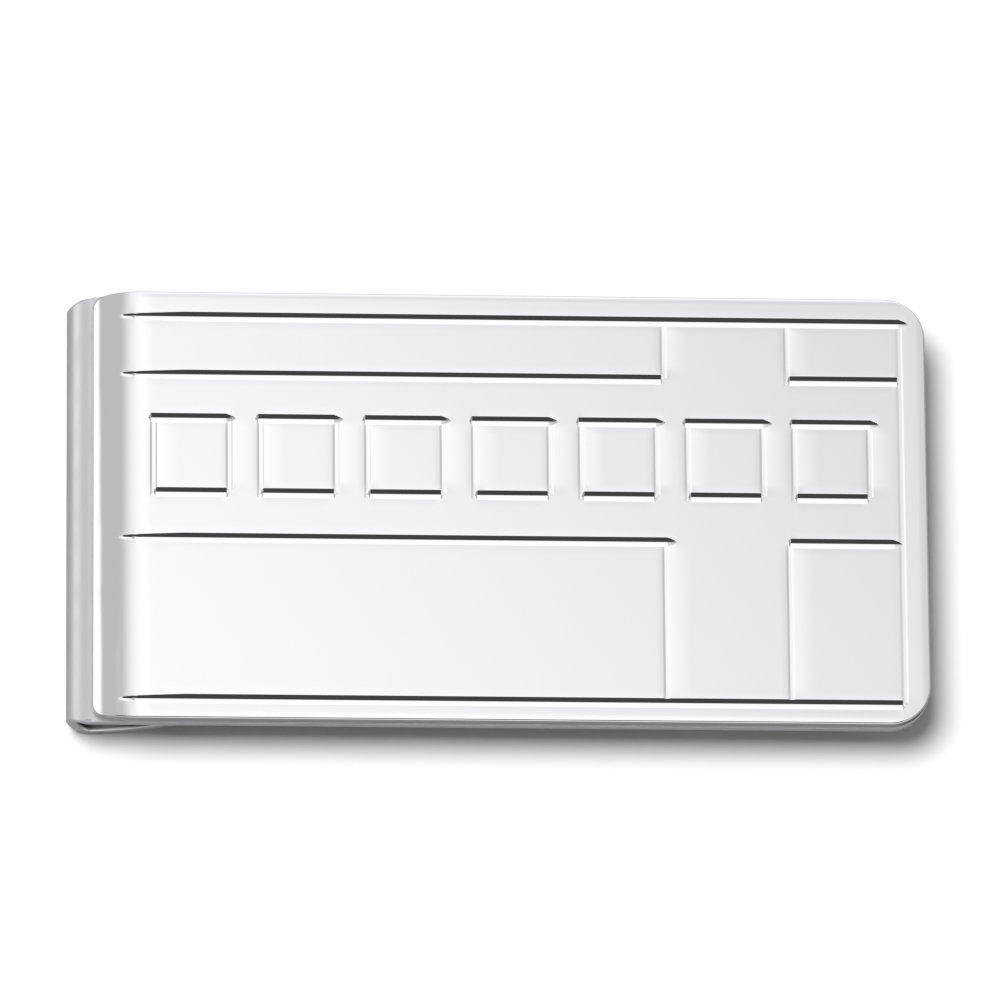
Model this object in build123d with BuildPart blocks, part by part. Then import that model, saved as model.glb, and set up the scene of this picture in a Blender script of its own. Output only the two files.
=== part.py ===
"""Money clip: a stamped decorative cover on a folded spring strip. Millimetres, +Z up.

The clip lies on its back. Its closed, folded end points to -X and its open end to +X.
The origin is under the middle of the clip, on the surface that the clip lies on.
"""

from build123d import *
import math
import os

# Overall size
clip_length = 52.6
cover_width = 27.0

# Spring strip: one long strip of spring steel, folded back on itself, a hair wider than the cover
strip_thickness = 0.78
bend_radius = 1.5
strip_overhang = 0.05
strip_width = cover_width + 2 * strip_overhang
bend_inner_radius = bend_radius - strip_thickness

# Cover: a thicker plate, soldered on the front arm of the strip
cover_thickness = 1.0
cover_corner_radius = 2.5
cover_nose_corner_radius = 0.6
cover_edge_radius = 0.22
nose_length = 3.7
nose_crown_reach = 2.0
nose_slope_degrees = 50
nose_slope_reach = 1.0
nose_end_height = 0.12

# Stamped line pattern in the cover
channel_width = 0.5
channel_depth = 0.11
channel_taper = 40
frame_top_y = 11.91
frame_bottom_y = -12.3
frame_right_x = 24.7
upper_line_y = 8.21
lower_line_y = -2.14
cross_left_x = 10.18
cross_right_x = 17.78
tile_count = 7
tile_pitch = 6.537
first_tile_x = -18.76
tile_row_y = 3.085
tile_length = 4.62
tile_width = 4.71

# Back leaf: rises to the front arm, runs along it, and ends in a flared lip
leaf_clearance = 0.1
leaf_root_straight = 0.7
leaf_rise_length = 5.8
leaf_grip_length = 27.6
leaf_flare_length = 6.4
leaf_lip_length = 1.3
leaf_lip_lift = 0.2
leaf_lip_degrees = 14
leaf_tip_width = 23.0
leaf_tip_corner_radius = 4.0
easing = 0.45

# Places worked out from the sizes above
right_x = clip_length / 2
left_x = -clip_length / 2
seam_x = left_x + bend_radius
bend_centre_z = bend_radius
strip_top_z = 2 * bend_radius
arm_bottom_z = strip_top_z - strip_thickness
cover_top_z = strip_top_z + cover_thickness
nose_end_z = strip_top_z + nose_end_height
cover_length = right_x - seam_x
cover_middle_x = (right_x + seam_x) / 2
margin = 1.0

os.makedirs("parts", exist_ok=True)

# Centre lines of the channels, each as (start x, start y, end x, end y)
line_start_x = seam_x + margin
channels = []
for line_y in (frame_top_y, frame_bottom_y):
    channels.append((line_start_x, line_y, frame_right_x, line_y))
for line_y in (upper_line_y, lower_line_y):
    channels.append((line_start_x, line_y, cross_left_x, line_y))
    channels.append((cross_right_x, line_y, frame_right_x, line_y))
for line_x in (cross_left_x, cross_right_x):
    channels.append((line_x, upper_line_y, line_x, frame_top_y))
    channels.append((line_x, frame_bottom_y, line_x, lower_line_y))
channels.append((frame_right_x, frame_bottom_y, frame_right_x, frame_top_y))
for tile in range(tile_count):
    tile_x = first_tile_x + tile * tile_pitch
    low_x = tile_x - tile_length / 2
    high_x = tile_x + tile_length / 2
    low_y = tile_row_y - tile_width / 2
    high_y = tile_row_y + tile_width / 2
    channels.append((low_x, low_y, high_x, low_y))
    channels.append((low_x, high_y, high_x, high_y))
    channels.append((low_x, low_y, low_x, high_y))
    channels.append((high_x, low_y, high_x, high_y))

# Cover: plan outline, softened rim, and a nose that rounds down to a low edge at the bend
nose_angle = math.radians(nose_slope_degrees)
nose_points = [
    (seam_x + nose_length, cover_top_z),
    (seam_x + nose_crown_reach, cover_top_z),
    (
        seam_x + nose_slope_reach * math.cos(nose_angle),
        nose_end_z + nose_slope_reach * math.sin(nose_angle),
    ),
    (seam_x, nose_end_z),
]
with BuildPart() as front_cover:
    with BuildSketch(Plane.XY.offset(strip_top_z)) as cover_outline:
        with Locations((cover_middle_x, 0)):
            Rectangle(cover_length, cover_width)
        open_corners = cover_outline.vertices().group_by(Axis.X)[-1]
        fillet(open_corners, radius=cover_corner_radius)
        nose_corners = cover_outline.vertices().group_by(Axis.X)[0]
        fillet(nose_corners, radius=cover_nose_corner_radius)
    extrude(amount=cover_thickness)
    fillet(front_cover.faces().sort_by(Axis.Z)[-1].edges(), radius=cover_edge_radius)

    # Everything above the nose curve is taken off across the whole width
    with BuildSketch(Plane.XZ) as nose_waste:
        with BuildLine():
            Bezier(*nose_points)
            Polyline(
                nose_points[-1],
                (seam_x - margin, nose_end_z),
                (seam_x - margin, cover_top_z + margin),
                (seam_x + nose_length, cover_top_z + margin),
                nose_points[0],
            )
        make_face()
    extrude(amount=cover_width, both=True, mode=Mode.SUBTRACT)

    # The stamped channels, cut down from the flat top of the cover, each with sloping walls
    for start_x, start_y, end_x, end_y in channels:
        with BuildSketch(Plane.XY.offset(cover_top_z)):
            with Locations(((start_x + end_x) / 2, (start_y + end_y) / 2)):
                Rectangle(end_x - start_x + channel_width, end_y - start_y + channel_width)
        extrude(amount=-channel_depth, taper=channel_taper, mode=Mode.SUBTRACT)

# Front arm of the strip: the flat backing of the cover
with BuildPart() as spring_front_arm:
    with BuildSketch(Plane.XY.offset(arm_bottom_z)) as arm_outline:
        with Locations((cover_middle_x, 0)):
            Rectangle(cover_length, strip_width)
        arm_corners = arm_outline.vertices().group_by(Axis.X)[-1]
        fillet(arm_corners, radius=cover_corner_radius)
    extrude(amount=strip_thickness)

# Bend of the strip: a half ring that joins the two arms and acts as the spring
with BuildPart() as spring_bend:
    with BuildSketch(Plane.XZ) as bend_section:
        with Locations((seam_x, bend_centre_z)):
            Circle(bend_radius)
            Circle(bend_inner_radius, mode=Mode.SUBTRACT)
        with Locations((seam_x + bend_radius, bend_centre_z)):
            Rectangle(2 * bend_radius, 4 * bend_radius, mode=Mode.SUBTRACT)
    extrude(amount=strip_width / 2, both=True)
    outer_rims = spring_bend.edges().filter_by(GeomType.CIRCLE)
    outer_rims = outer_rims.sort_by(SortBy.RADIUS)[-2:]
    fillet(outer_rims, radius=strip_thickness / 4)

# Back leaf: the free arm, seen from the side as a smooth line of constant thickness
leaf_low_z = strip_thickness / 2
leaf_high_z = arm_bottom_z - leaf_clearance - strip_thickness / 2
rise_start_x = seam_x + leaf_root_straight
rise_end_x = rise_start_x + leaf_rise_length
flare_start_x = rise_end_x + leaf_grip_length
flare_end_x = flare_start_x + leaf_flare_length
leaf_end_x = flare_end_x + leaf_lip_length
lip_angle = math.radians(leaf_lip_degrees)
with BuildPart() as spring_back_leaf:
    with BuildSketch(Plane.XZ) as leaf_section:
        with BuildLine() as leaf_line:
            Line((seam_x, leaf_low_z), (rise_start_x, leaf_low_z))
            Bezier(
                (rise_start_x, leaf_low_z),
                (rise_start_x + easing * leaf_rise_length, leaf_low_z),
                (rise_end_x - easing * leaf_rise_length, leaf_high_z),
                (rise_end_x, leaf_high_z),
            )
            Line((rise_end_x, leaf_high_z), (flare_start_x, leaf_high_z))
            Bezier(
                (flare_start_x, leaf_high_z),
                (flare_start_x + easing * leaf_flare_length, leaf_high_z),
                (flare_end_x - easing * leaf_flare_length, leaf_low_z),
                (flare_end_x, leaf_low_z),
            )
            Bezier(
                (flare_end_x, leaf_low_z),
                (flare_end_x + easing * leaf_lip_length, leaf_low_z),
                (
                    leaf_end_x - easing * leaf_lip_length * math.cos(lip_angle),
                    leaf_low_z + leaf_lip_lift - easing * leaf_lip_length * math.sin(lip_angle),
                ),
                (leaf_end_x, leaf_low_z + leaf_lip_lift),
            )
        trace(line_width=strip_thickness)
    extrude(amount=strip_width, both=True)

    # Plan outline: a slow taper from the bend to a round-cornered tip
    with BuildSketch(Plane.XY.offset(-margin)) as leaf_outline:
        with BuildLine():
            Polyline(
                (seam_x, -strip_width / 2),
                (leaf_end_x, -leaf_tip_width / 2),
                (leaf_end_x, leaf_tip_width / 2),
                (seam_x, strip_width / 2),
                close=True,
            )
        make_face()
        tip_corners = leaf_outline.vertices().group_by(Axis.X)[-1]
        fillet(tip_corners, radius=leaf_tip_corner_radius)
    extrude(amount=cover_top_z + margin, mode=Mode.INTERSECT)

# Named pieces of the clip
pieces = {
    "front_cover": front_cover,
    "spring_front_arm": spring_front_arm,
    "spring_bend": spring_bend,
    "spring_back_leaf": spring_back_leaf,
}
for name, piece in pieces.items():
    piece.part.label = name
    export_step(piece.part, f"parts/{name}.step")
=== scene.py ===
"""Money clip: a polished, stamped cover on a folded satin spring strip, lying on a pale floor.
Shapes are worked out in millimetres, in the CAD frame, and scaled to metres as each mesh is made."""

import bpy
import math
import numpy as np
from mathutils import Matrix, Vector
from mathutils.geometry import delaunay_2d_cdt


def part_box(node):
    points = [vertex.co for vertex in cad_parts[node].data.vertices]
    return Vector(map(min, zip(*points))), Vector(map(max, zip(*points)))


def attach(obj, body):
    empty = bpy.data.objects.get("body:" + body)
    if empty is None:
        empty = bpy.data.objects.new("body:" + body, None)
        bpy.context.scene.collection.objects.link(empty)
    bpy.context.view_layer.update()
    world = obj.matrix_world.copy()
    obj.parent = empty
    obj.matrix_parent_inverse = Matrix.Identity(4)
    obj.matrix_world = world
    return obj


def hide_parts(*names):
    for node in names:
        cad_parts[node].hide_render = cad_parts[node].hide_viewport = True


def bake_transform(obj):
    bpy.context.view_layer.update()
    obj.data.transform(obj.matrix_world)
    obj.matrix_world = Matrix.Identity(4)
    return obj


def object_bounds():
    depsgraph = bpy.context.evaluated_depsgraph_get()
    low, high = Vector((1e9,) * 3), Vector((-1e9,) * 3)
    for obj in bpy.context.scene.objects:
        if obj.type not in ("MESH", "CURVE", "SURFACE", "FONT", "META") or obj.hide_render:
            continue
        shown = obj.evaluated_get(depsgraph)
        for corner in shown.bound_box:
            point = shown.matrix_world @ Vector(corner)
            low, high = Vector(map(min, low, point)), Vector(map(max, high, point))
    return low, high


MM = 0.001

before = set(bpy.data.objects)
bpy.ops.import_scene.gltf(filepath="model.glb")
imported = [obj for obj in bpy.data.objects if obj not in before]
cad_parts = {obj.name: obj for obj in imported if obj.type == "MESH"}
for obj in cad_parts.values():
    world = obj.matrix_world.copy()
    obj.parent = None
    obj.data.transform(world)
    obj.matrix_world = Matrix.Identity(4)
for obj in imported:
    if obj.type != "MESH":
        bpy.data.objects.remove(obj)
cad_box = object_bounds()

# ---------------------------------------------------------------- places, from the frame
cover_low, cover_high = (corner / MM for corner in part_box("front_cover"))
arm_low, arm_high = (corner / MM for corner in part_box("spring_front_arm"))
bend_low, _ = (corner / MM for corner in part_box("spring_bend"))
_, leaf_high = (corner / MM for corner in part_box("spring_back_leaf"))

seam_x = cover_low.x
right_x = cover_high.x
half_width = cover_high.y
cover_bottom_z = cover_low.z
cover_top_z = cover_high.z
arm_right_x = arm_high.x
strip_half_width = arm_high.y
strip_top_z = arm_high.z
strip_thickness = arm_high.z - arm_low.z
bend_radius = seam_x - bend_low.x
leaf_end_x = leaf_high.x

# ---------------------------------------------------------------- driving sizes of the cover
cover_corner_radius = 2.5
nose_corner_radius = 0.6
cover_edge_radius = 0.11
nose_length = 3.7
nose_crown_reach = 2.0
nose_slope_degrees = 50
nose_slope_reach = 1.0
nose_end_z = cover_bottom_z + 0.12
rim_roll_width = 0.45
rim_roll_drop = 0.018

frame_top_y = 11.91
frame_bottom_y = -12.3
frame_right_x = 24.7
upper_line_y = 8.21
lower_line_y = -2.14
cross_left_x = 10.18
cross_right_x = 17.78
tile_count = 7
tile_pitch = 6.537
first_tile_x = -18.76
tile_row_y = 3.085
tile_length = 4.62
tile_width = 4.71

# Lines along the clip: a V with full, softly rounded walls
groove_half_width = 0.33
groove_wall_degrees = 20
groove_middle_degrees = 7
groove_middle_share = 0.25
groove_shoulder = 0.5
groove_shoulder_drop = 0.0035
groove_outer_reach = 0.42
groove_reach_growth = 0.04
groove_frame_reach = 0.6
groove_inner_reach = 0.04
groove_long_reach = 0.72
groove_left_reach = 0.25
groove_soft_end = 0.6
blunt = 0.15
pointed = 0.6
slender = 5.5
# Where lines meet, a high power keeps the deeper one and rounds the join
meeting_power = 6
# The lines run out where the cover rounds down, with one shallow spot just before full depth
fade_start_x = seam_x + 1.5
fade_end_x = seam_x + 2.3
shallow_spot_x = seam_x + 2.62
shallow_spot_width = 0.12
shallow_spot_share = 0.45
# The nose is not quite straight from side to side, and narrows a little towards the bend
nose_drift = 0.04
nose_wave_length = 1.8
# Ripples across the nose, each as (height, rate, start)
nose_ripples = ((0.006, 0.9, 0.5), (0.003, 2.3, 2.0))
nose_narrowing = 0.4
nose_narrowing_length = 3.2

# Lines across the clip: a steep left wall, a low right wall and a long soft shoulder
cut_left = -0.23
cut_wall = 0.16
cut_right = 0.11
cut_lip = 0.11
cut_shoulder = 1.25
cut_shoulder_degrees = 1.2
cut_lip_degrees = 3.0
cut_lip_extra_degrees = 5.0
cut_lip_fade = 6.0
cut_approach = 0.4
cut_approach_drop = 0.003
cut_end_length = 0.2
cut_low_reach = 0.3
cut_shoulder_end_length = 0.9
faint_shoulder = 0.25


# ---------------------------------------------------------------- small helpers
def smooth(low, high, value):
    """0 below low, 1 above high, eased between."""
    t = np.clip((value - low) / (high - low), 0.0, 1.0)
    return t * t * (3.0 - 2.0 * t)


def bezier(points, count):
    """Points along a cubic Bezier curve."""
    t = np.linspace(0.0, 1.0, count)[:, None]
    a, b, c, d = (np.array(p, float) for p in points)
    return (1 - t) ** 3 * a + 3 * (1 - t) ** 2 * t * b + 3 * (1 - t) * t**2 * c + t**3 * d


def unit(vectors):
    """Rows scaled to length one."""
    return vectors / np.linalg.norm(vectors, axis=-1, keepdims=True)


# ---------------------------------------------------------------- height of the cover's top
slope = math.radians(nose_slope_degrees)
nose_curve = bezier(
    [
        (seam_x, nose_end_z),
        (
            seam_x + nose_slope_reach * math.cos(slope),
            nose_end_z + nose_slope_reach * math.sin(slope),
        ),
        (seam_x + nose_crown_reach, cover_top_z),
        (seam_x + nose_length, cover_top_z),
    ],
    600,
)


def groove_table():
    """Depth of a line along the clip against the distance from its middle."""
    reach = np.linspace(0.0, groove_half_width, 241)
    place = (reach - groove_half_width / 2) / (groove_half_width / 2)
    wall = groove_wall_degrees * (1 - np.abs(place) ** 4)
    middle = groove_middle_degrees * np.exp(-((place / groove_middle_share) ** 2))
    steep = np.tan(np.radians(wall + middle))
    steps = (steep[1:] + steep[:-1]) / 2 * (reach[1] - reach[0])
    depth = np.concatenate([np.cumsum(steps[::-1])[::-1], [0.0]])
    return reach, depth


groove_reach, groove_depth = groove_table()

# Lines along the clip: (start x, end x, y, start length, end length). A line above a panel runs past
# the panel's right corner to a point, and a line below a panel stops blunt inside the corners.
inner = groove_inner_reach
outer = groove_outer_reach
grooves = [
    (seam_x, frame_right_x + groove_frame_reach, frame_top_y, slender, pointed),
    (seam_x, frame_right_x - inner, frame_bottom_y, slender, blunt),
    (seam_x, cross_left_x - inner, upper_line_y, slender, blunt),
    (cross_right_x + inner, frame_right_x - inner, upper_line_y, blunt, blunt),
    (seam_x, cross_left_x + groove_long_reach, lower_line_y, slender, pointed),
    (cross_right_x - inner, frame_right_x + inner, lower_line_y, blunt, pointed),
]
# Lines across the clip: (x, lowest y, highest y, reach past the lowest y, size of the soft shoulder)
cuts = [
    (cross_left_x, upper_line_y, frame_top_y, 0.0, 1.0),
    (cross_right_x, upper_line_y, frame_top_y, cut_low_reach, 1.0),
    (cross_left_x, frame_bottom_y, lower_line_y, 0.0, 1.0),
    (cross_right_x, frame_bottom_y, lower_line_y, 0.0, 1.0),
    (frame_right_x, frame_bottom_y, frame_top_y, 0.0, faint_shoulder),
]
for tile in range(tile_count):
    tile_x = first_tile_x + tile * tile_pitch
    left = tile_x - tile_length / 2
    right = tile_x + tile_length / 2
    bottom = tile_row_y - tile_width / 2
    top = tile_row_y + tile_width / 2
    tip = outer + groove_reach_growth * tile
    grooves.append((left - groove_left_reach, right + tip, top, blunt, pointed))
    grooves.append((left + inner, right - inner, bottom, blunt, blunt))
    cuts.append((left, bottom, top, cut_low_reach, 1.0))
    cuts.append((right, bottom, top, 0.0, 1.0))


def end_share(travel, length):
    """Share of full size near a line's end: round for a blunt end, else nearly straight."""
    t = np.clip(travel / length, 0.0, 1.0)
    return np.sqrt(t * (2 - t)) if length == blunt else t**0.7


def groove_at(x, y, start_x, end_x, line_y, start_length, end_length):
    """Depth of one line along the clip: (sharp part, soft shoulder). It narrows at its ends."""
    away = np.abs(y - line_y)
    share = end_share(x - start_x, start_length) * end_share(end_x - x, end_length)
    share = np.maximum(share, 1e-3)
    sharp = share * np.interp(away / share, groove_reach, groove_depth)
    beside = np.clip(1 - (away - groove_half_width) / groove_shoulder, 0, 1)
    gentle = smooth(start_x, start_x + groove_soft_end, x) * smooth(-end_x, groove_soft_end - end_x, -x)
    return sharp, groove_shoulder_drop * beside**2 * gentle


def cut_at(x, y, cut_x, low_y, high_y, low_reach, shoulder):
    """Depth of one line across the clip: (sharp part, soft shoulder)."""
    t = x - cut_x
    top_end = smooth(-high_y, cut_end_length - high_y, -y)
    window = top_end * smooth(low_y - low_reach, low_y - low_reach + cut_end_length, y)
    wide = smooth(low_y, low_y + cut_shoulder_end_length, y)
    wide = wide * smooth(-high_y, cut_shoulder_end_length - high_y, -y)
    shoulder_slope = math.tan(math.radians(cut_shoulder_degrees))
    past_nose = cut_x - seam_x - nose_length
    lip_degrees = cut_lip_degrees + cut_lip_extra_degrees * math.exp(-past_nose / cut_lip_fade)
    lip_drop = math.tan(math.radians(lip_degrees)) * cut_lip / 1.5
    lip_end = cut_right + cut_lip
    down = smooth(cut_left, cut_left + cut_wall, t)
    lip = lip_drop * (1 - smooth(cut_right, lip_end, t))
    floor = shoulder_slope * np.clip(lip_end - t, 0, lip_end - cut_left - cut_wall) * (1 + shoulder) / 2
    after = shoulder_slope * cut_shoulder / 2 * np.clip(1 - (t - lip_end) / cut_shoulder, 0, 1) ** 2
    before = cut_approach_drop * np.clip(1 - (cut_left - t) / cut_approach, 0, 1) ** 2 * (1 - down)
    return down * (lip + floor) * window, (down * after + before) * wide * shoulder


def cover_height(x, y):
    """Height of the cover's top at plan points."""
    height = np.interp(x, nose_curve[:, 0], nose_curve[:, 1])
    sharp = np.zeros_like(x)
    soft = np.zeros_like(x)
    for line in grooves:
        deep, beside = groove_at(x, y, *line)
        sharp = sharp + np.abs(deep) ** meeting_power
        soft = np.maximum(soft, beside)
    for line in cuts:
        deep, beside = cut_at(x, y, *line)
        sharp = sharp + np.abs(deep) ** meeting_power
        soft = soft + beside
    fade = smooth(fade_start_x, fade_end_x, x)
    fade = fade - shallow_spot_share * np.exp(-(((x - shallow_spot_x) / shallow_spot_width) ** 2)) * fade
    across = nose_drift * y / half_width
    for size, rate, start in nose_ripples:
        across = across + size * np.sin(rate * y + start)
    reach = np.clip((x - seam_x) / nose_wave_length, 0, 1)
    height = height - across * np.sin(math.pi * reach) ** 2
    edge = np.minimum(half_width - np.abs(y), right_x - x)
    roll = rim_roll_drop * np.clip(1 - edge / rim_roll_width, 0, 1) ** 2
    return height - fade * (sharp ** (1 / meeting_power) + soft) - roll


def cover_normal(x, y):
    """Unit normals of the cover's top at plan points."""
    step = 0.004
    slope_x = (cover_height(x + step, y) - cover_height(x - step, y)) / (2 * step)
    slope_y = (cover_height(x, y + step) - cover_height(x, y - step)) / (2 * step)
    return unit(np.stack([-slope_x, -slope_y, np.ones_like(x)], axis=-1))


# ---------------------------------------------------------------- plates: a plan outline with softened rims
def rounded_path(corners, spacing, closed=False):
    """Points (u, v, outward u, outward v) along straight runs joined by arcs, counter-clockwise."""
    places = [np.array(c[:2], float) for c in corners]
    count = len(places)
    path = []

    def add(point, direction):
        path.append((point[0], point[1], direction[1], -direction[0]))

    exits = []
    entries = []
    arcs = []
    for i, (corner, data) in enumerate(zip(places, corners)):
        radius = data[2]
        if not closed and i in (0, count - 1):
            entries.append(corner)
            exits.append(corner)
            arcs.append(None)
            continue
        arrive = unit(corner - places[i - 1])
        leave = unit(places[(i + 1) % count] - corner)
        turn = math.atan2(arrive[0] * leave[1] - arrive[1] * leave[0], float(arrive @ leave))
        back = radius * math.tan(turn / 2)
        entries.append(corner - arrive * back)
        exits.append(corner + leave * back)
        centre = entries[-1] + radius * np.array([-arrive[1], arrive[0]])
        arcs.append((centre, radius, math.atan2(-arrive[0], arrive[1]), turn))
    for i in range(count):
        if arcs[i] is not None:
            centre, radius, start, turn = arcs[i]
            steps = max(3, math.ceil(turn / math.radians(6)))
            for k in range(steps + 1):
                angle = start + turn * k / steps
                outward = (math.cos(angle), math.sin(angle))
                point = centre + radius * np.array(outward)
                path.append((point[0], point[1], outward[0], outward[1]))
        if i == count - 1 and not closed:
            break
        begin = exits[i]
        end = entries[(i + 1) % count]
        length = float(np.linalg.norm(end - begin))
        direction = (end - begin) / length
        steps = max(1, math.ceil(length / spacing))
        first = 0 if arcs[i] is None else 1
        last = steps if arcs[(i + 1) % count] is not None else steps + 1
        for k in range(first, last):
            add(begin + direction * length * k / steps, direction)
    return path


def rim_section(thickness, top_radius, bottom_radius, steps=6):
    """Stations (inset, depth, normal angle) from the top face round the rim to the bottom face."""
    stations = []
    for k in range(steps + 1):
        angle = math.pi / 2 * k / steps
        stations.append((top_radius * (1 - math.sin(angle)), top_radius * (1 - math.cos(angle)), angle))
    for k in range(steps + 1):
        if bottom_radius == 0 and k > 0:
            break
        angle = math.pi / 2 + math.pi / 2 * k / steps
        inset = bottom_radius * (1 - math.sin(angle))
        stations.append((inset, thickness - bottom_radius * (1 + math.cos(angle)), angle))
    return stations


def fill_outline(ring, u_lines, v_lines, inside):
    """Fills a closed ring with grid quads and a band of triangles. Returns (inner points, faces);
    indices below len(ring) are the ring's own points, the rest are the inner points."""
    ring = np.asarray(ring, float)
    count = len(ring)
    inner = []
    faces = []
    index = {}
    edges = {}
    if len(u_lines) and len(v_lines):
        grid_u, grid_v = np.meshgrid(u_lines, v_lines, indexing="ij")
        good = inside(grid_u, grid_v)
        cell = good[:-1, :-1] & good[1:, :-1] & good[1:, 1:] & good[:-1, 1:]
        for i, j in zip(*np.nonzero(cell)):
            quad = []
            for corner in ((i, j), (i + 1, j), (i + 1, j + 1), (i, j + 1)):
                if corner not in index:
                    index[corner] = count + len(inner)
                    inner.append((grid_u[corner], grid_v[corner]))
                quad.append(index[corner])
            faces.append(quad)
            for a, b in zip(quad, quad[1:] + quad[:1]):
                if (b, a) in edges:
                    del edges[(b, a)]
                else:
                    edges[(a, b)] = True
    inner = np.array(inner, float).reshape(-1, 2)
    border = []
    if edges:
        after = {a: b for a, b in edges}
        start = next(iter(after))
        here = start
        while True:
            border.append(here)
            here = after[here]
            if here == start:
                break
    points = [Vector(p) for p in ring] + [Vector(inner[b - count]) for b in border]
    outline = list(range(count))
    hole = list(range(count, len(points)))
    loops = [outline, hole] if hole else [outline]
    found = delaunay_2d_cdt(points, [], loops, 1, 1e-7)
    back = [source[0] for source in found[3]]
    for triangle, source in zip(found[2], found[5]):
        if 1 in source:
            continue
        named = [back[v] for v in triangle]
        faces.append([v if v < count else border[v - count] for v in named])
    return inner, faces


def build_plate(name, paths, section, place, top_normal, along, top_grid, bottom_grid, closed=False):
    """A closed mesh from plan paths. place(u, v, depth) gives points, top_normal(u, v) the normal of
    the top face and along(u) the direction of growing u. Gaps between paths become flat cut ends."""
    path = np.array([p for run in paths for p in run])
    joins = set()
    total = 0
    for run in paths:
        total += len(run)
        if not closed:
            joins.add(total - 1)
    count = len(path)
    vertices = []
    rim_normals = []
    plans = []
    outward = path[:, 2:3] * along(path[:, 0]) + path[:, 3:4] * np.array([0.0, 1.0, 0.0])
    for inset, depth, angle in section:
        u = path[:, 0] - path[:, 2] * inset
        v = path[:, 1] - path[:, 3] * inset
        plans.append(np.stack([u, v], axis=-1))
        vertices.append(place(u, v, np.full(count, depth)))
        rim_normals.append(unit(math.cos(angle) * top_normal(u, v) + math.sin(angle) * outward))
    faces = []
    normals = []
    for j in range(len(section) - 1):
        for i in range(count):
            k = (i + 1) % count
            a, b, c, d = j * count + i, (j + 1) * count + i, (j + 1) * count + k, j * count + k
            faces.append((a, b, c, d))
            if i in joins:
                sign = 1.0 if path[i, 3] < path[k, 3] else -1.0
                flat = sign * along(path[i : i + 1, 0])[0]
                normals.extend([flat] * 4)
            else:
                upper, lower = rim_normals[j], rim_normals[j + 1]
                normals.extend([upper[i], lower[i], lower[k], upper[k]])
    used = len(section) * count
    last = (len(section) - 1) * count
    for plan, grid, depth, start, upward in (
        (plans[0], top_grid, section[0][1], 0, True),
        (plans[-1], bottom_grid, section[-1][1], last, False),
    ):
        inner, filled = fill_outline(plan, *grid)
        if len(inner):
            vertices.append(place(inner[:, 0], inner[:, 1], np.full(len(inner), depth)))
        every = np.concatenate([plan, inner])
        if upward:
            facing = top_normal(every[:, 0], every[:, 1])
        else:
            facing = -bottom_normal(top_normal, every, closed)
        for face in filled:
            order = face if upward else face[::-1]
            faces.append([start + v if v < count else used + v - count for v in order])
            normals.extend(facing[v] for v in order)
        used += len(inner)
    mesh = bpy.data.meshes.new(name)
    mesh.from_pydata((np.concatenate(vertices) * MM).tolist(), [], faces)
    mesh.polygons.foreach_set("use_smooth", [True] * len(mesh.polygons))
    mesh.update()
    mesh.normals_split_custom_set(np.array(normals).tolist())
    piece = bpy.data.objects.new(name, mesh)
    bpy.context.scene.collection.objects.link(piece)
    return piece


def bottom_normal(top_normal, points, flat):
    """Normals of the bottom face, as if it faced up: flat for the cover, and the top's for a strip."""
    if flat:
        return np.tile([0.0, 0.0, 1.0], (len(points), 1))
    return top_normal(points[:, 0], points[:, 1])


def spread(low, high, step):
    """Evenly spaced values from low to high, about a step apart."""
    return np.linspace(low, high, max(2, int(math.ceil((high - low) / step)) + 1))


def straight_x(u):
    """Direction of growing u on a flat plate."""
    return np.tile([1.0, 0.0, 0.0], (len(u), 1))


NO_GRID = ([], [], None)


# ---------------------------------------------------------------- front cover
def merge_lines(values, gap):
    """Sorted values, with those closer than the gap to the one before left out."""
    kept = []
    for value in sorted(values):
        if not kept or value - kept[-1] > gap:
            kept.append(value)
    return np.array(kept)


def cover_lines():
    """Grid lines: dense across every stamped line and over the nose, and wide apart elsewhere."""
    across = [-0.62, -0.45, -0.32, -0.25, -0.23, -0.205, -0.18, -0.15, -0.12, -0.095, -0.07, -0.03, 0.04]
    across += [0.08, 0.11, 0.14, 0.17, 0.2, 0.235, 0.3, 0.45, 0.7, 1.0, 1.3, 1.5]
    wall = [0.012, 0.03, 0.06, 0.1, 0.135, 0.165, 0.195, 0.23, 0.27, 0.3, 0.32, 0.345, 0.45, 0.6, 0.83]
    x_lines = [line[0] + offset for line in cuts for offset in across]
    x_lines += list(spread(seam_x + 0.1, seam_x + nose_length + 0.4, 0.1))
    x_lines += list(spread(seam_x + nose_length + 0.4, right_x, 0.8))
    near_end = (-0.2, -0.1, -0.05, 0, 0.05, 0.1, 0.2)
    x_lines += [end + offset for line in grooves for end in line[:2] for offset in near_end]
    y_lines = [line[2] + side * offset for line in grooves for offset in wall for side in (-1, 1)]
    y_lines += list(spread(-half_width, half_width, 0.8))
    y_lines += [side * (half_width - offset) for offset in (0.3, 0.45, 0.6, 0.8) for side in (-1, 1)]
    return merge_lines(x_lines, 0.02), merge_lines(y_lines, 0.02)


def nose_narrow(x):
    """How much the cover narrows on each side, towards the bend."""
    return nose_narrowing * np.clip(1 - (x - seam_x) / nose_narrowing_length, 0, 1) ** 2.5


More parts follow.
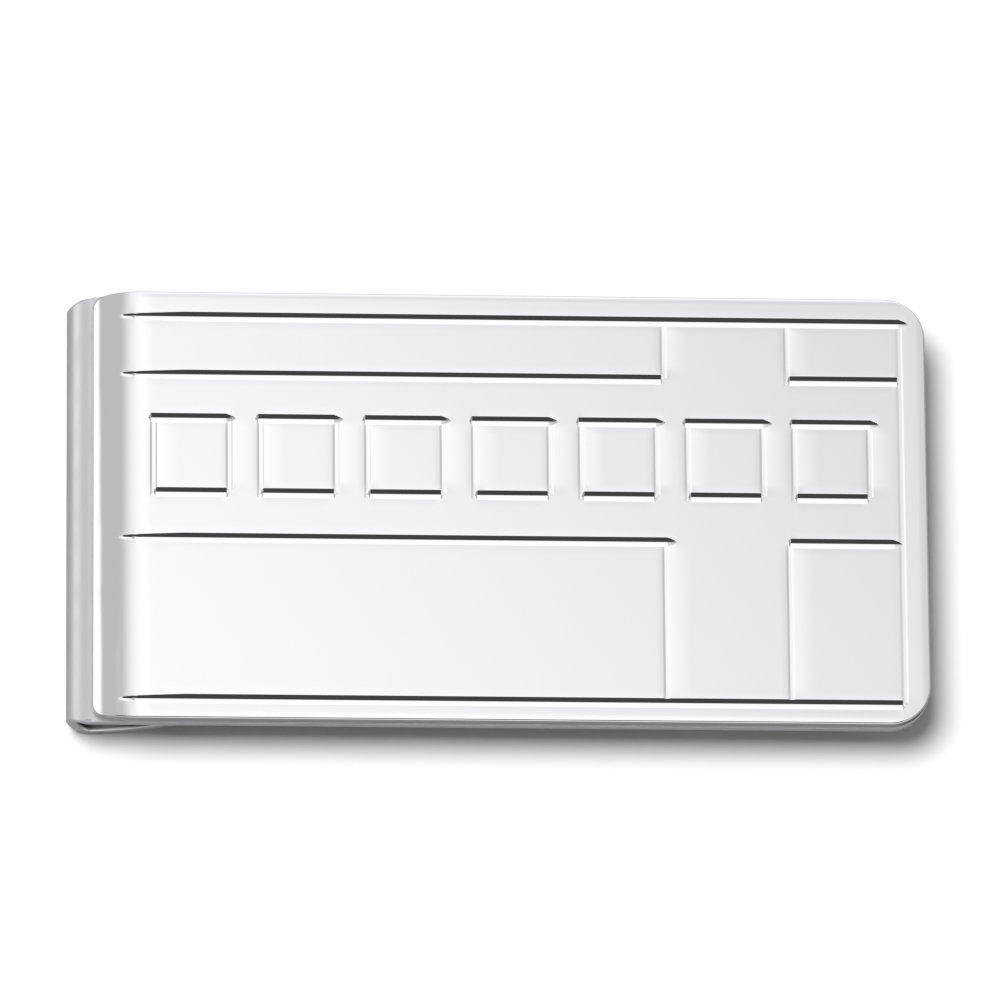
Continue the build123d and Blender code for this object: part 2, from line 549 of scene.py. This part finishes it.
def inside_cover(u, v):
    """True where a grid point is well inside the cover's rounded outline."""
    gap = cover_edge_radius + 0.06
    v = np.abs(v) / (1 - nose_narrow(u) / half_width)
    x_room = right_x - u
    y_room = half_width - v
    radius = cover_corner_radius
    corner_u = np.maximum(u - (right_x - radius), 0)
    corner_v = np.maximum(np.abs(v) - (half_width - radius), 0)
    clear_right = radius - np.hypot(corner_u, corner_v)
    near_u = np.maximum(seam_x + nose_corner_radius - u, 0)
    near_v = np.maximum(np.abs(v) - (half_width - nose_corner_radius), 0)
    clear_left = nose_corner_radius - np.hypot(near_u, near_v)
    good = (x_room > gap) & (y_room > gap) & (u > seam_x + gap)
    good &= np.where((corner_u > 0) & (corner_v > 0), clear_right > gap, True)
    good &= np.where((near_u > 0) & (near_v > 0), clear_left > gap * 0.8, True)
    return good


def cover_place(x, y, depth):
    """Points of the cover: depth counts from the top, in shares of the local thickness."""
    thickness = cover_top_z - cover_bottom_z
    height = cover_bottom_z + (cover_height(x, y) - cover_bottom_z) * (1 - depth / thickness)
    return np.stack([x, y, height], axis=-1)


def make_cover():
    corners = [
        (seam_x, -half_width, nose_corner_radius),
        (right_x, -half_width, cover_corner_radius),
        (right_x, half_width, cover_corner_radius),
        (seam_x, half_width, nose_corner_radius),
    ]
    path = np.array(rounded_path(corners, 0.2, closed=True))
    path[:, 1] *= 1 - nose_narrow(path[:, 0]) / half_width
    direction = unit(np.roll(path[:, :2], -1, axis=0) - np.roll(path[:, :2], 1, axis=0))
    path[:, 2] = direction[:, 1]
    path[:, 3] = -direction[:, 0]
    section = rim_section(cover_top_z - cover_bottom_z, cover_edge_radius, 0)
    section.append((0.0, cover_top_z - cover_bottom_z, math.pi / 2))
    section = [s for i, s in enumerate(section) if i == 0 or s[:2] != section[i - 1][:2]]
    x_lines, y_lines = cover_lines()
    return build_plate(
        "polished_cover",
        [path],
        section,
        cover_place,
        cover_normal,
        straight_x,
        (x_lines, y_lines, inside_cover),
        NO_GRID,
        closed=True,
    )


# ---------------------------------------------------------------- spring strip
strip_rim_radius = 0.2
arm_rim_radius = 0.03
near_pinch = 0.32
far_pinch = 0.5
far_narrowing = 0.2
far_narrowing_length = 3.0
strip_section = rim_section(strip_thickness, strip_rim_radius, strip_rim_radius)
arm_section = rim_section(strip_thickness, arm_rim_radius, strip_rim_radius)


def make_arm():
    """The flat front arm behind the cover, cut off flat at the bend."""
    length = arm_right_x - seam_x
    radius = cover_corner_radius - (right_x - arm_right_x)
    corners = [
        (0, -strip_half_width, 0),
        (length, -strip_half_width, radius),
        (length, strip_half_width, radius),
        (0, strip_half_width, 0),
    ]

    def place(u, v, depth):
        return np.stack([seam_x + u, v, strip_top_z - depth], axis=-1)

    def normal(u, v):
        return np.tile([0.0, 0.0, 1.0], (len(u), 1))

    path = np.array(rounded_path(corners, 0.5))
    share = np.clip(1 - path[:, 0] / far_narrowing_length, 0, 1) ** 2
    path[:, 1] -= np.where(path[:, 1] > 0, far_narrowing * share, 0)
    return build_plate("satin_front_arm", [path], arm_section, place, normal, straight_x, NO_GRID, NO_GRID)


def make_bend():
    """Half a ring, from the leaf at the bottom to the front arm at the top."""
    angles = np.linspace(0, math.pi, 49)
    near = []
    far = []
    for angle in angles:
        near_edge = strip_half_width - near_pinch * math.sin(angle) ** 2
        far_edge = strip_half_width - far_pinch * math.sin(angle) ** 2
        far_edge -= far_narrowing * (1 - math.cos(angle)) / 2
        near_lean = near_pinch / bend_radius * math.sin(2 * angle)
        far_lean = far_pinch / bend_radius * math.sin(2 * angle)
        far_lean += far_narrowing / 2 / bend_radius * math.sin(angle)
        near_size = math.hypot(1, near_lean)
        far_size = math.hypot(1, far_lean)
        near.append((angle, -near_edge, near_lean / near_size, -1 / near_size))
        far.append((angle, far_edge, far_lean / far_size, 1 / far_size))
    far.reverse()

    def place(u, v, depth):
        radius = bend_radius - depth
        return np.stack([seam_x - radius * np.sin(u), v, bend_radius - radius * np.cos(u)], axis=-1)

    def normal(u, v):
        return np.stack([-np.sin(u), np.zeros_like(u), -np.cos(u)], axis=-1)

    def along(u):
        return np.stack([-np.cos(u), np.zeros_like(u), np.sin(u)], axis=-1)

    def inside(u, v):
        return np.abs(v) < strip_half_width - far_pinch - far_narrowing - strip_rim_radius - 0.1

    u_lines = angles[:-1] + (angles[1] - angles[0]) / 2
    grid = (u_lines, spread(-strip_half_width, strip_half_width, 1.2), inside)
    return build_plate("satin_bend", [near, far], strip_section, place, normal, along, grid, grid)


leaf_root_straight = 0.7
leaf_rise_length = 5.8
leaf_grip_length = 27.6
leaf_flare_length = 6.4
leaf_lip_lift = 0.2
leaf_lip_degrees = 14
leaf_tip_width = 23.0
leaf_tip_corner_radius = 4.0
easing = 0.45
leaf_top_gap = 0.1


def leaf_line():
    """Side view of the leaf's middle: (x, z) points from the bend to the tip."""
    low_z = strip_thickness / 2
    high_z = strip_top_z - strip_thickness - leaf_top_gap - strip_thickness / 2
    rise_start = seam_x + leaf_root_straight
    rise_end = rise_start + leaf_rise_length
    flare_start = rise_end + leaf_grip_length
    flare_end = flare_start + leaf_flare_length
    lip_length = leaf_end_x - flare_end
    lip = math.radians(leaf_lip_degrees)
    rise = [
        (rise_start, low_z),
        (rise_start + easing * leaf_rise_length, low_z),
        (rise_end - easing * leaf_rise_length, high_z),
        (rise_end, high_z),
    ]
    flare = [
        (flare_start, high_z),
        (flare_start + easing * leaf_flare_length, high_z),
        (flare_end - easing * leaf_flare_length, low_z),
        (flare_end, low_z),
    ]
    tip = [
        (flare_end, low_z),
        (flare_end + easing * lip_length, low_z),
        (
            leaf_end_x - easing * lip_length * math.cos(lip),
            low_z + leaf_lip_lift - easing * lip_length * math.sin(lip),
        ),
        (leaf_end_x, low_z + leaf_lip_lift),
    ]
    parts = [np.array([[seam_x, low_z]])]
    parts += [bezier(rise, 120), bezier(flare, 120), bezier(tip, 60)[1:]]
    return np.concatenate(parts)


def make_leaf():
    """The free arm: it rises to the front arm, runs along it and turns away before its lipped tip."""
    line = leaf_line()
    length = leaf_end_x - seam_x
    corners = [
        (0, -strip_half_width, 0),
        (length, -leaf_tip_width / 2, leaf_tip_corner_radius),
        (length, leaf_tip_width / 2, leaf_tip_corner_radius),
        (0, strip_half_width, 0),
    ]

    def height(u):
        return np.interp(seam_x + u, line[:, 0], line[:, 1])

    def along(u):
        step = 0.02
        low_u = np.clip(u - step, 0, length)
        high_u = np.clip(u + step, 0, length)
        rise = (height(high_u) - height(low_u)) / (high_u - low_u)
        return unit(np.stack([np.ones_like(u), np.zeros_like(u), rise], axis=-1))

    def normal(u, v):
        direction = along(u)
        return np.stack([-direction[:, 2], np.zeros_like(u), direction[:, 0]], axis=-1)

    def place(u, v, depth):
        middle = np.stack([seam_x + u, v, height(u)], axis=-1)
        return middle + (strip_thickness / 2 - depth)[:, None] * normal(u, v)

    def inside(u, v):
        edge = strip_half_width + (leaf_tip_width / 2 - strip_half_width) * u / length
        gap = strip_rim_radius + 0.15
        corner_u = np.maximum(u - (length - leaf_tip_corner_radius), 0)
        corner_v = np.maximum(np.abs(v) - (edge - leaf_tip_corner_radius), 0)
        clear = leaf_tip_corner_radius - np.hypot(corner_u, corner_v)
        return (np.abs(v) < edge - gap) & (clear > gap) & (u > 0.1)

    path = rounded_path(corners, 0.4)
    grid = (spread(0.15, length, 0.3), spread(-strip_half_width, strip_half_width, 1.5), inside)
    return build_plate("satin_back_leaf", [path], strip_section, place, normal, along, grid, grid)


# ---------------------------------------------------------------- materials
class Nodes:
    """Short calls for building a node tree."""

    def __init__(self, tree):
        self.tree = tree
        tree.nodes.clear()

    def add(self, kind, **settings):
        node = self.tree.nodes.new(kind)
        for key, value in settings.items():
            setattr(node, key, value)
        return node

    def join(self, source, target):
        self.tree.links.new(source, target)

    def math(self, operation, first, second=None):
        node = self.add("ShaderNodeMath", operation=operation)
        for socket, value in zip(node.inputs, (first, second)):
            if value is None:
                continue
            if isinstance(value, (int, float)):
                socket.default_value = value
            else:
                self.join(value, socket)
        return node.outputs[0]

    def ease(self, value, low_end, high_end, to_low=0.0, to_high=1.0):
        """Smooth step of a value, between two output levels."""
        node = self.add("ShaderNodeMapRange", interpolation_type="SMOOTHSTEP")
        self.join(value, node.inputs["Value"])
        node.inputs["From Min"].default_value = low_end
        node.inputs["From Max"].default_value = high_end
        node.inputs["To Min"].default_value = to_low
        node.inputs["To Max"].default_value = to_high
        return node.outputs[0]

    def noise(self, scale, detail=3.0, roughness=0.5):
        """Noise in object space, with its own scale along each axis, in features per metre."""
        place = self.add("ShaderNodeTexCoord")
        stretch = self.add("ShaderNodeMapping")
        stretch.inputs["Scale"].default_value = scale
        node = self.add("ShaderNodeTexNoise")
        node.inputs["Scale"].default_value = 1.0
        node.inputs["Detail"].default_value = detail
        node.inputs["Roughness"].default_value = roughness
        self.join(place.outputs["Object"], stretch.inputs["Vector"])
        self.join(stretch.outputs["Vector"], node.inputs["Vector"])
        return node.outputs["Fac"]


def painted_shade_inside(nodes, colour):
    """Painted shade: a colour that turns dark inside the fold, where shade falls: on the inner face of the
    bend, and on the faces of the front arm and the leaf that look at each other. The outside keeps its
    colour."""
    middle_z = bend_radius * MM
    inner_radius = (bend_radius - strip_thickness) * MM
    place = nodes.add("ShaderNodeTexCoord")
    split = nodes.add("ShaderNodeSeparateXYZ")
    nodes.join(place.outputs["Object"], split.inputs[0])
    past_seam = nodes.math("SUBTRACT", split.outputs["X"], seam_x * MM)
    off_middle = nodes.math("ABSOLUTE", nodes.math("SUBTRACT", split.outputs["Z"], middle_z))
    squares = nodes.math("ADD", nodes.math("POWER", past_seam, 2.0), nodes.math("POWER", off_middle, 2.0))
    in_bend = nodes.ease(nodes.math("SQRT", squares), inner_radius + 0.25 * MM, inner_radius + 0.12 * MM)
    surface = nodes.add("ShaderNodeNewGeometry")
    facing = nodes.add("ShaderNodeSeparateXYZ")
    nodes.join(surface.outputs["Normal"], facing.inputs[0])
    level_face = nodes.ease(nodes.math("ABSOLUTE", facing.outputs["Z"]), 0.5, 0.7)
    between = nodes.ease(off_middle, inner_radius + 0.08 * MM, inner_radius + 0.02 * MM)
    between = nodes.math("MULTIPLY", between, level_face)
    right_side = nodes.math("GREATER_THAN", past_seam, 0.0)
    inside = nodes.math("MULTIPLY", between, right_side)
    left_side = nodes.math("SUBTRACT", 1.0, right_side)
    inside = nodes.math("ADD", inside, nodes.math("MULTIPLY", in_bend, left_side))
    # How closed in the fold is (ambient occlusion) sets where the painted shade is laid on
    shut = nodes.add("ShaderNodeAmbientOcclusion", samples=8)
    shut.inputs["Distance"].default_value = 2 * inner_radius
    shut_in = nodes.ease(shut.outputs["AO"], 0.98, 0.75)
    # Painted shade: the plain colour is mixed towards near-black (0.02) inside the fold
    mix = nodes.add("ShaderNodeMix", data_type="RGBA")
    nodes.join(nodes.math("MULTIPLY", inside, shut_in), mix.inputs[0])
    mix.inputs[6].default_value = (*colour, 1.0)
    mix.inputs[7].default_value = (0.02, 0.02, 0.02, 1.0)
    return mix.outputs[2]


def metal(name, colour, rough_low, rough_high, rough_scale, bump_scale, bump_height, with_painted_shade=False):
    """A metal whose roughness and fine relief come from stretched noise."""
    made = bpy.data.materials.new(name)
    made.use_nodes = True
    nodes = Nodes(made.node_tree)
    output = nodes.add("ShaderNodeOutputMaterial")
    shader = nodes.add("ShaderNodeBsdfPrincipled")
    shader.inputs["Base Color"].default_value = (*colour, 1.0)
    # Painted shade: the base colour turns near-black inside the fold
    if with_painted_shade:
        nodes.join(painted_shade_inside(nodes, colour), shader.inputs["Base Color"])
    shader.inputs["Metallic"].default_value = 1.0
    patches = nodes.noise(rough_scale)
    nodes.join(nodes.ease(patches, 0.3, 0.7, rough_low, rough_high), shader.inputs["Roughness"])
    bump = nodes.add("ShaderNodeBump")
    bump.inputs["Strength"].default_value = 1.0
    bump.inputs["Distance"].default_value = bump_height
    nodes.join(nodes.noise(bump_scale, detail=4.0), bump.inputs["Height"])
    nodes.join(bump.outputs["Normal"], shader.inputs["Normal"])
    nodes.join(shader.outputs["BSDF"], output.inputs["Surface"])
    return made


def dress(piece, material):
    piece.data.materials.clear()
    piece.data.materials.append(material)


polished = metal(
    "polished_plate",
    (0.86, 0.87, 0.88),
    0.03,
    0.06,
    (60.0, 400.0, 400.0),
    (250.0, 5000.0, 5000.0),
    4e-8,
)
# The satin strip carries painted shade: its colour turns near-black inside the fold
satin = metal(
    "satin_spring",
    (0.84, 0.85, 0.86),
    0.42,
    0.52,
    (900.0, 500.0, 900.0),
    (9000.0, 3000.0, 9000.0),
    1.5e-6,
    with_painted_shade=True,
)

# ---------------------------------------------------------------- pieces
cover = make_cover()
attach(cover, "front")
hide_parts("front_cover")
dress(cover, polished)

arm = make_arm()
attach(arm, "front")
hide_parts("spring_front_arm")
dress(arm, satin)

bend = make_bend()
dress(bend, satin)
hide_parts("spring_bend")
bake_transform(bend)

leaf = make_leaf()
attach(leaf, "leaf")
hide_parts("spring_back_leaf")
dress(leaf, satin)


# ---------------------------------------------------------------- floor
def make_floor():
    """A wide pale floor just under the clip, with a painted reflection: it is coloured darker where mirrors
    see it.
    """
    reach = 1.5
    floor_z = cad_box[0].z - 0.01 * MM
    mesh = bpy.data.meshes.new("floor")
    corners = [(x * reach, y * reach, floor_z) for x, y in ((-1, -1), (1, -1), (1, 1), (-1, 1))]
    mesh.from_pydata(corners, [], [(0, 1, 2, 3)])
    piece = bpy.data.objects.new("floor", mesh)
    bpy.context.scene.collection.objects.link(piece)
    made = bpy.data.materials.new("pale_floor")
    made.use_nodes = True
    nodes = Nodes(made.node_tree)
    output = nodes.add("ShaderNodeOutputMaterial")
    shader = nodes.add("ShaderNodeBsdfDiffuse")
    # Painted reflection: the floor's colour falls from 0.85 to 0.3 in mirror rays, so the metal reflects a
    # darker floor
    seen = nodes.add("ShaderNodeLightPath")
    level = nodes.ease(seen.outputs["Is Glossy Ray"], 0.0, 1.0, 0.85, 0.3)
    mix = nodes.add("ShaderNodeCombineColor")
    for socket in mix.inputs:
        nodes.join(level, socket)
    nodes.join(mix.outputs[0], shader.inputs["Color"])
    nodes.join(shader.outputs[0], output.inputs["Surface"])
    mesh.materials.append(made)


make_floor()


# ---------------------------------------------------------------- light
roof_dimming = 0.35
panel_dimming = 0.5
opening_level = 0.05
mirror_gain = 1.15
fill = 0.27


def make_world():
    """A plain white tent: a soft grey panel on each side and the camera's dark opening in front."""
    world = bpy.data.worlds.new("studio_tent")
    bpy.context.scene.world = world
    world.use_nodes = True
    nodes = Nodes(world.node_tree)
    place = nodes.add("ShaderNodeTexCoord")
    split = nodes.add("ShaderNodeSeparateXYZ")
    nodes.join(place.outputs["Generated"], split.inputs[0])
    # Degrees from straight up: side grows to the right, front grows towards the back
    turn = 180 / math.pi
    side = nodes.math("MULTIPLY", nodes.math("ARCSINE", split.outputs["X"]), turn)
    front = nodes.math("MULTIPLY", nodes.math("ARCSINE", split.outputs["Y"]), turn)

    def dimmed(level, share, depth):
        kept = nodes.math("SUBTRACT", 1.0, nodes.math("MULTIPLY", share, depth))
        return nodes.math("MULTIPLY", level, kept)

    def blend_levels(share, first, second):
        kept = nodes.math("MULTIPLY", first, nodes.math("SUBTRACT", 1.0, share))
        return nodes.math("ADD", kept, nodes.math("MULTIPLY", second, share))

    # The roof fades to light grey towards the back right, and the back wall is white again
    slant = nodes.math("ADD", nodes.math("MULTIPLY", side, 1.5), front)
    roof = nodes.math("MULTIPLY", nodes.ease(slant, 15, 30), nodes.ease(front, 25, 20))
    left_panel = nodes.math("MULTIPLY", nodes.ease(side, 0, -15), nodes.ease(side, -60, -45))
    right_panel = nodes.ease(side, 10, 40)
    level = dimmed(1.0, roof, roof_dimming)
    level = dimmed(level, left_panel, panel_dimming)
    level = dimmed(level, right_panel, panel_dimming)

    opening = nodes.math("MULTIPLY", nodes.ease(side, -20, -15), nodes.ease(side, 25, 20))
    opening = nodes.math("MULTIPLY", opening, nodes.ease(front, -55, -50))
    opening = nodes.math("MULTIPLY", opening, nodes.ease(front, 0, -5))
    level = blend_levels(opening, level, opening_level)

    path = nodes.add("ShaderNodeLightPath")
    mirrored = nodes.math("MULTIPLY", level, mirror_gain)
    strength = blend_levels(path.outputs["Is Glossy Ray"], fill, mirrored)
    strength = blend_levels(path.outputs["Is Camera Ray"], strength, 1.0)
    background = nodes.add("ShaderNodeBackground")
    background.inputs["Color"].default_value = (1.0, 1.0, 1.0, 1.0)
    nodes.join(strength, background.inputs["Strength"])
    output = nodes.add("ShaderNodeOutputWorld")
    nodes.join(background.outputs[0], output.inputs["Surface"])


def make_key():
    """One large soft light, high and a little to the back left. Mirrors see the tent instead."""
    light = bpy.data.lights.new("key", "SUN")
    light.energy = 3.25
    light.angle = math.radians(30)
    key = bpy.data.objects.new("key", light)
    towards = Vector((-0.33, 0.22, 1.0)).normalized()
    key.rotation_mode = "QUATERNION"
    key.rotation_quaternion = towards.to_track_quat("Z", "Y")
    key.location = towards
    key.visible_glossy = False
    bpy.context.scene.collection.objects.link(key)


make_world()
make_key()


# ---------------------------------------------------------------- camera
def make_camera():
    """A long lens, nearly overhead, from the front and slightly from the left."""
    lean_front = math.radians(16)
    lean_left = math.radians(3.721)
    roll = math.radians(-0.488)
    distance = 694.7
    target = Vector((0.080, 0.425, cover_top_z))
    towards = Vector((-math.sin(lean_left), -math.sin(lean_front), 0))
    towards.z = math.sqrt(1 - towards.length_squared)
    level_right = Vector((0, 1, 0)).cross(towards).normalized()
    level_up = towards.cross(level_right)
    right = math.cos(roll) * level_right + math.sin(roll) * level_up
    up = math.cos(roll) * level_up - math.sin(roll) * level_right
    camera = bpy.data.cameras.new("camera")
    camera.sensor_width = 36
    camera.lens = 409.9
    camera.clip_start = 0.01
    camera.clip_end = 10
    eye = bpy.data.objects.new("camera", camera)
    place = (target + distance * towards) * MM
    turned = Matrix((right, up, towards)).transposed().to_4x4()
    eye.matrix_world = Matrix.Translation(place) @ turned
    bpy.context.scene.collection.objects.link(eye)
    bpy.context.scene.camera = eye


make_camera()
bpy.context.scene.view_settings.view_transform = "Standard"
